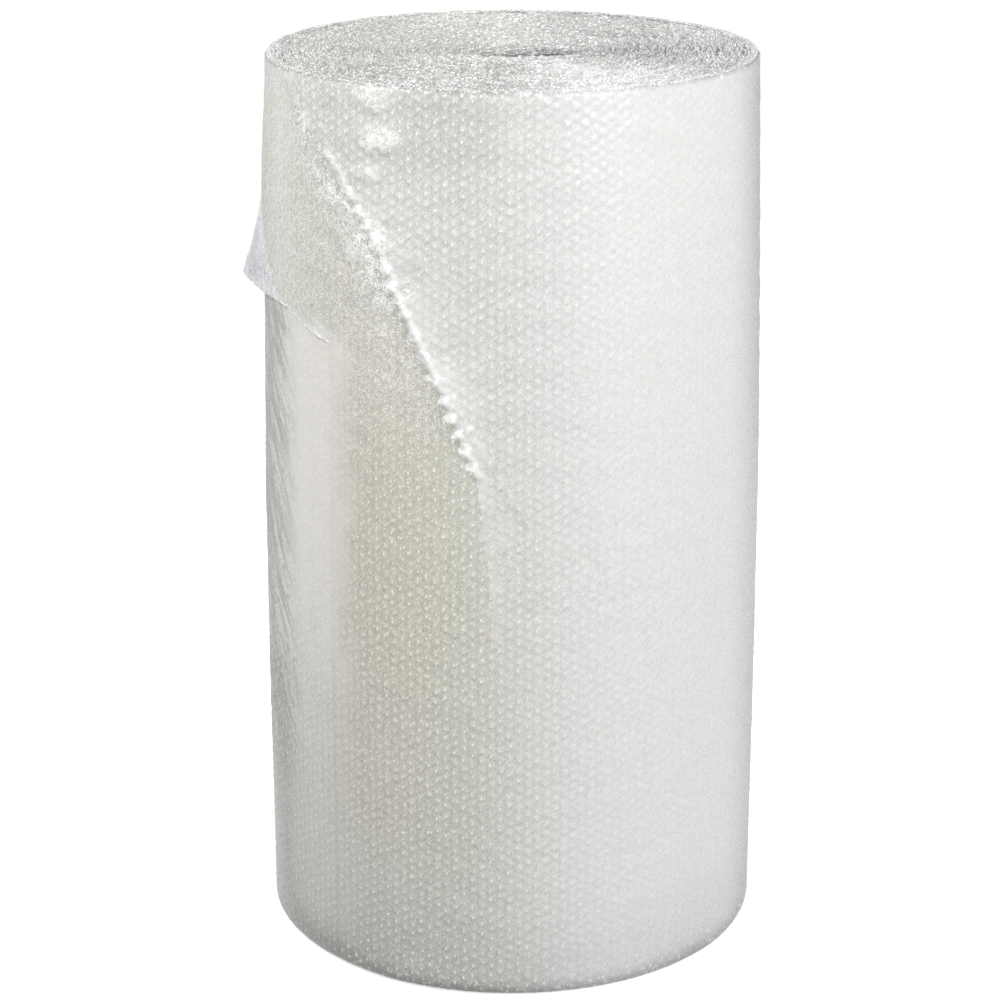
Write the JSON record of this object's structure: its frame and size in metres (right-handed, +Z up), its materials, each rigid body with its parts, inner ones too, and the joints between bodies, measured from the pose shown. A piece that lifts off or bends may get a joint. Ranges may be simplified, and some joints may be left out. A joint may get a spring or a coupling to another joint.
{
  "type": "bubble wrap roll",
  "caption": "Large roll of clear bubble wrap standing on its end, wound without a core, with a peeled free corner.",
  "frame": {"origin": "on the surface that the roll stands on, on the axis that the film is wound round", "axes": "+Z up along the winding axis; -Y is the front, where the roll is seen from, and the free end of the film is to the left of it, towards -X"},
  "size_m": [0.5759, 0.5592, 1],
  "materials": {
    "bubble_film": "glossy clear polyethylene film, milky where many layers lie on each other"
  },
  "bodies": {
    "root": {"wound_bubble_film": "bubble_film"}
  },
  "joints": []
}
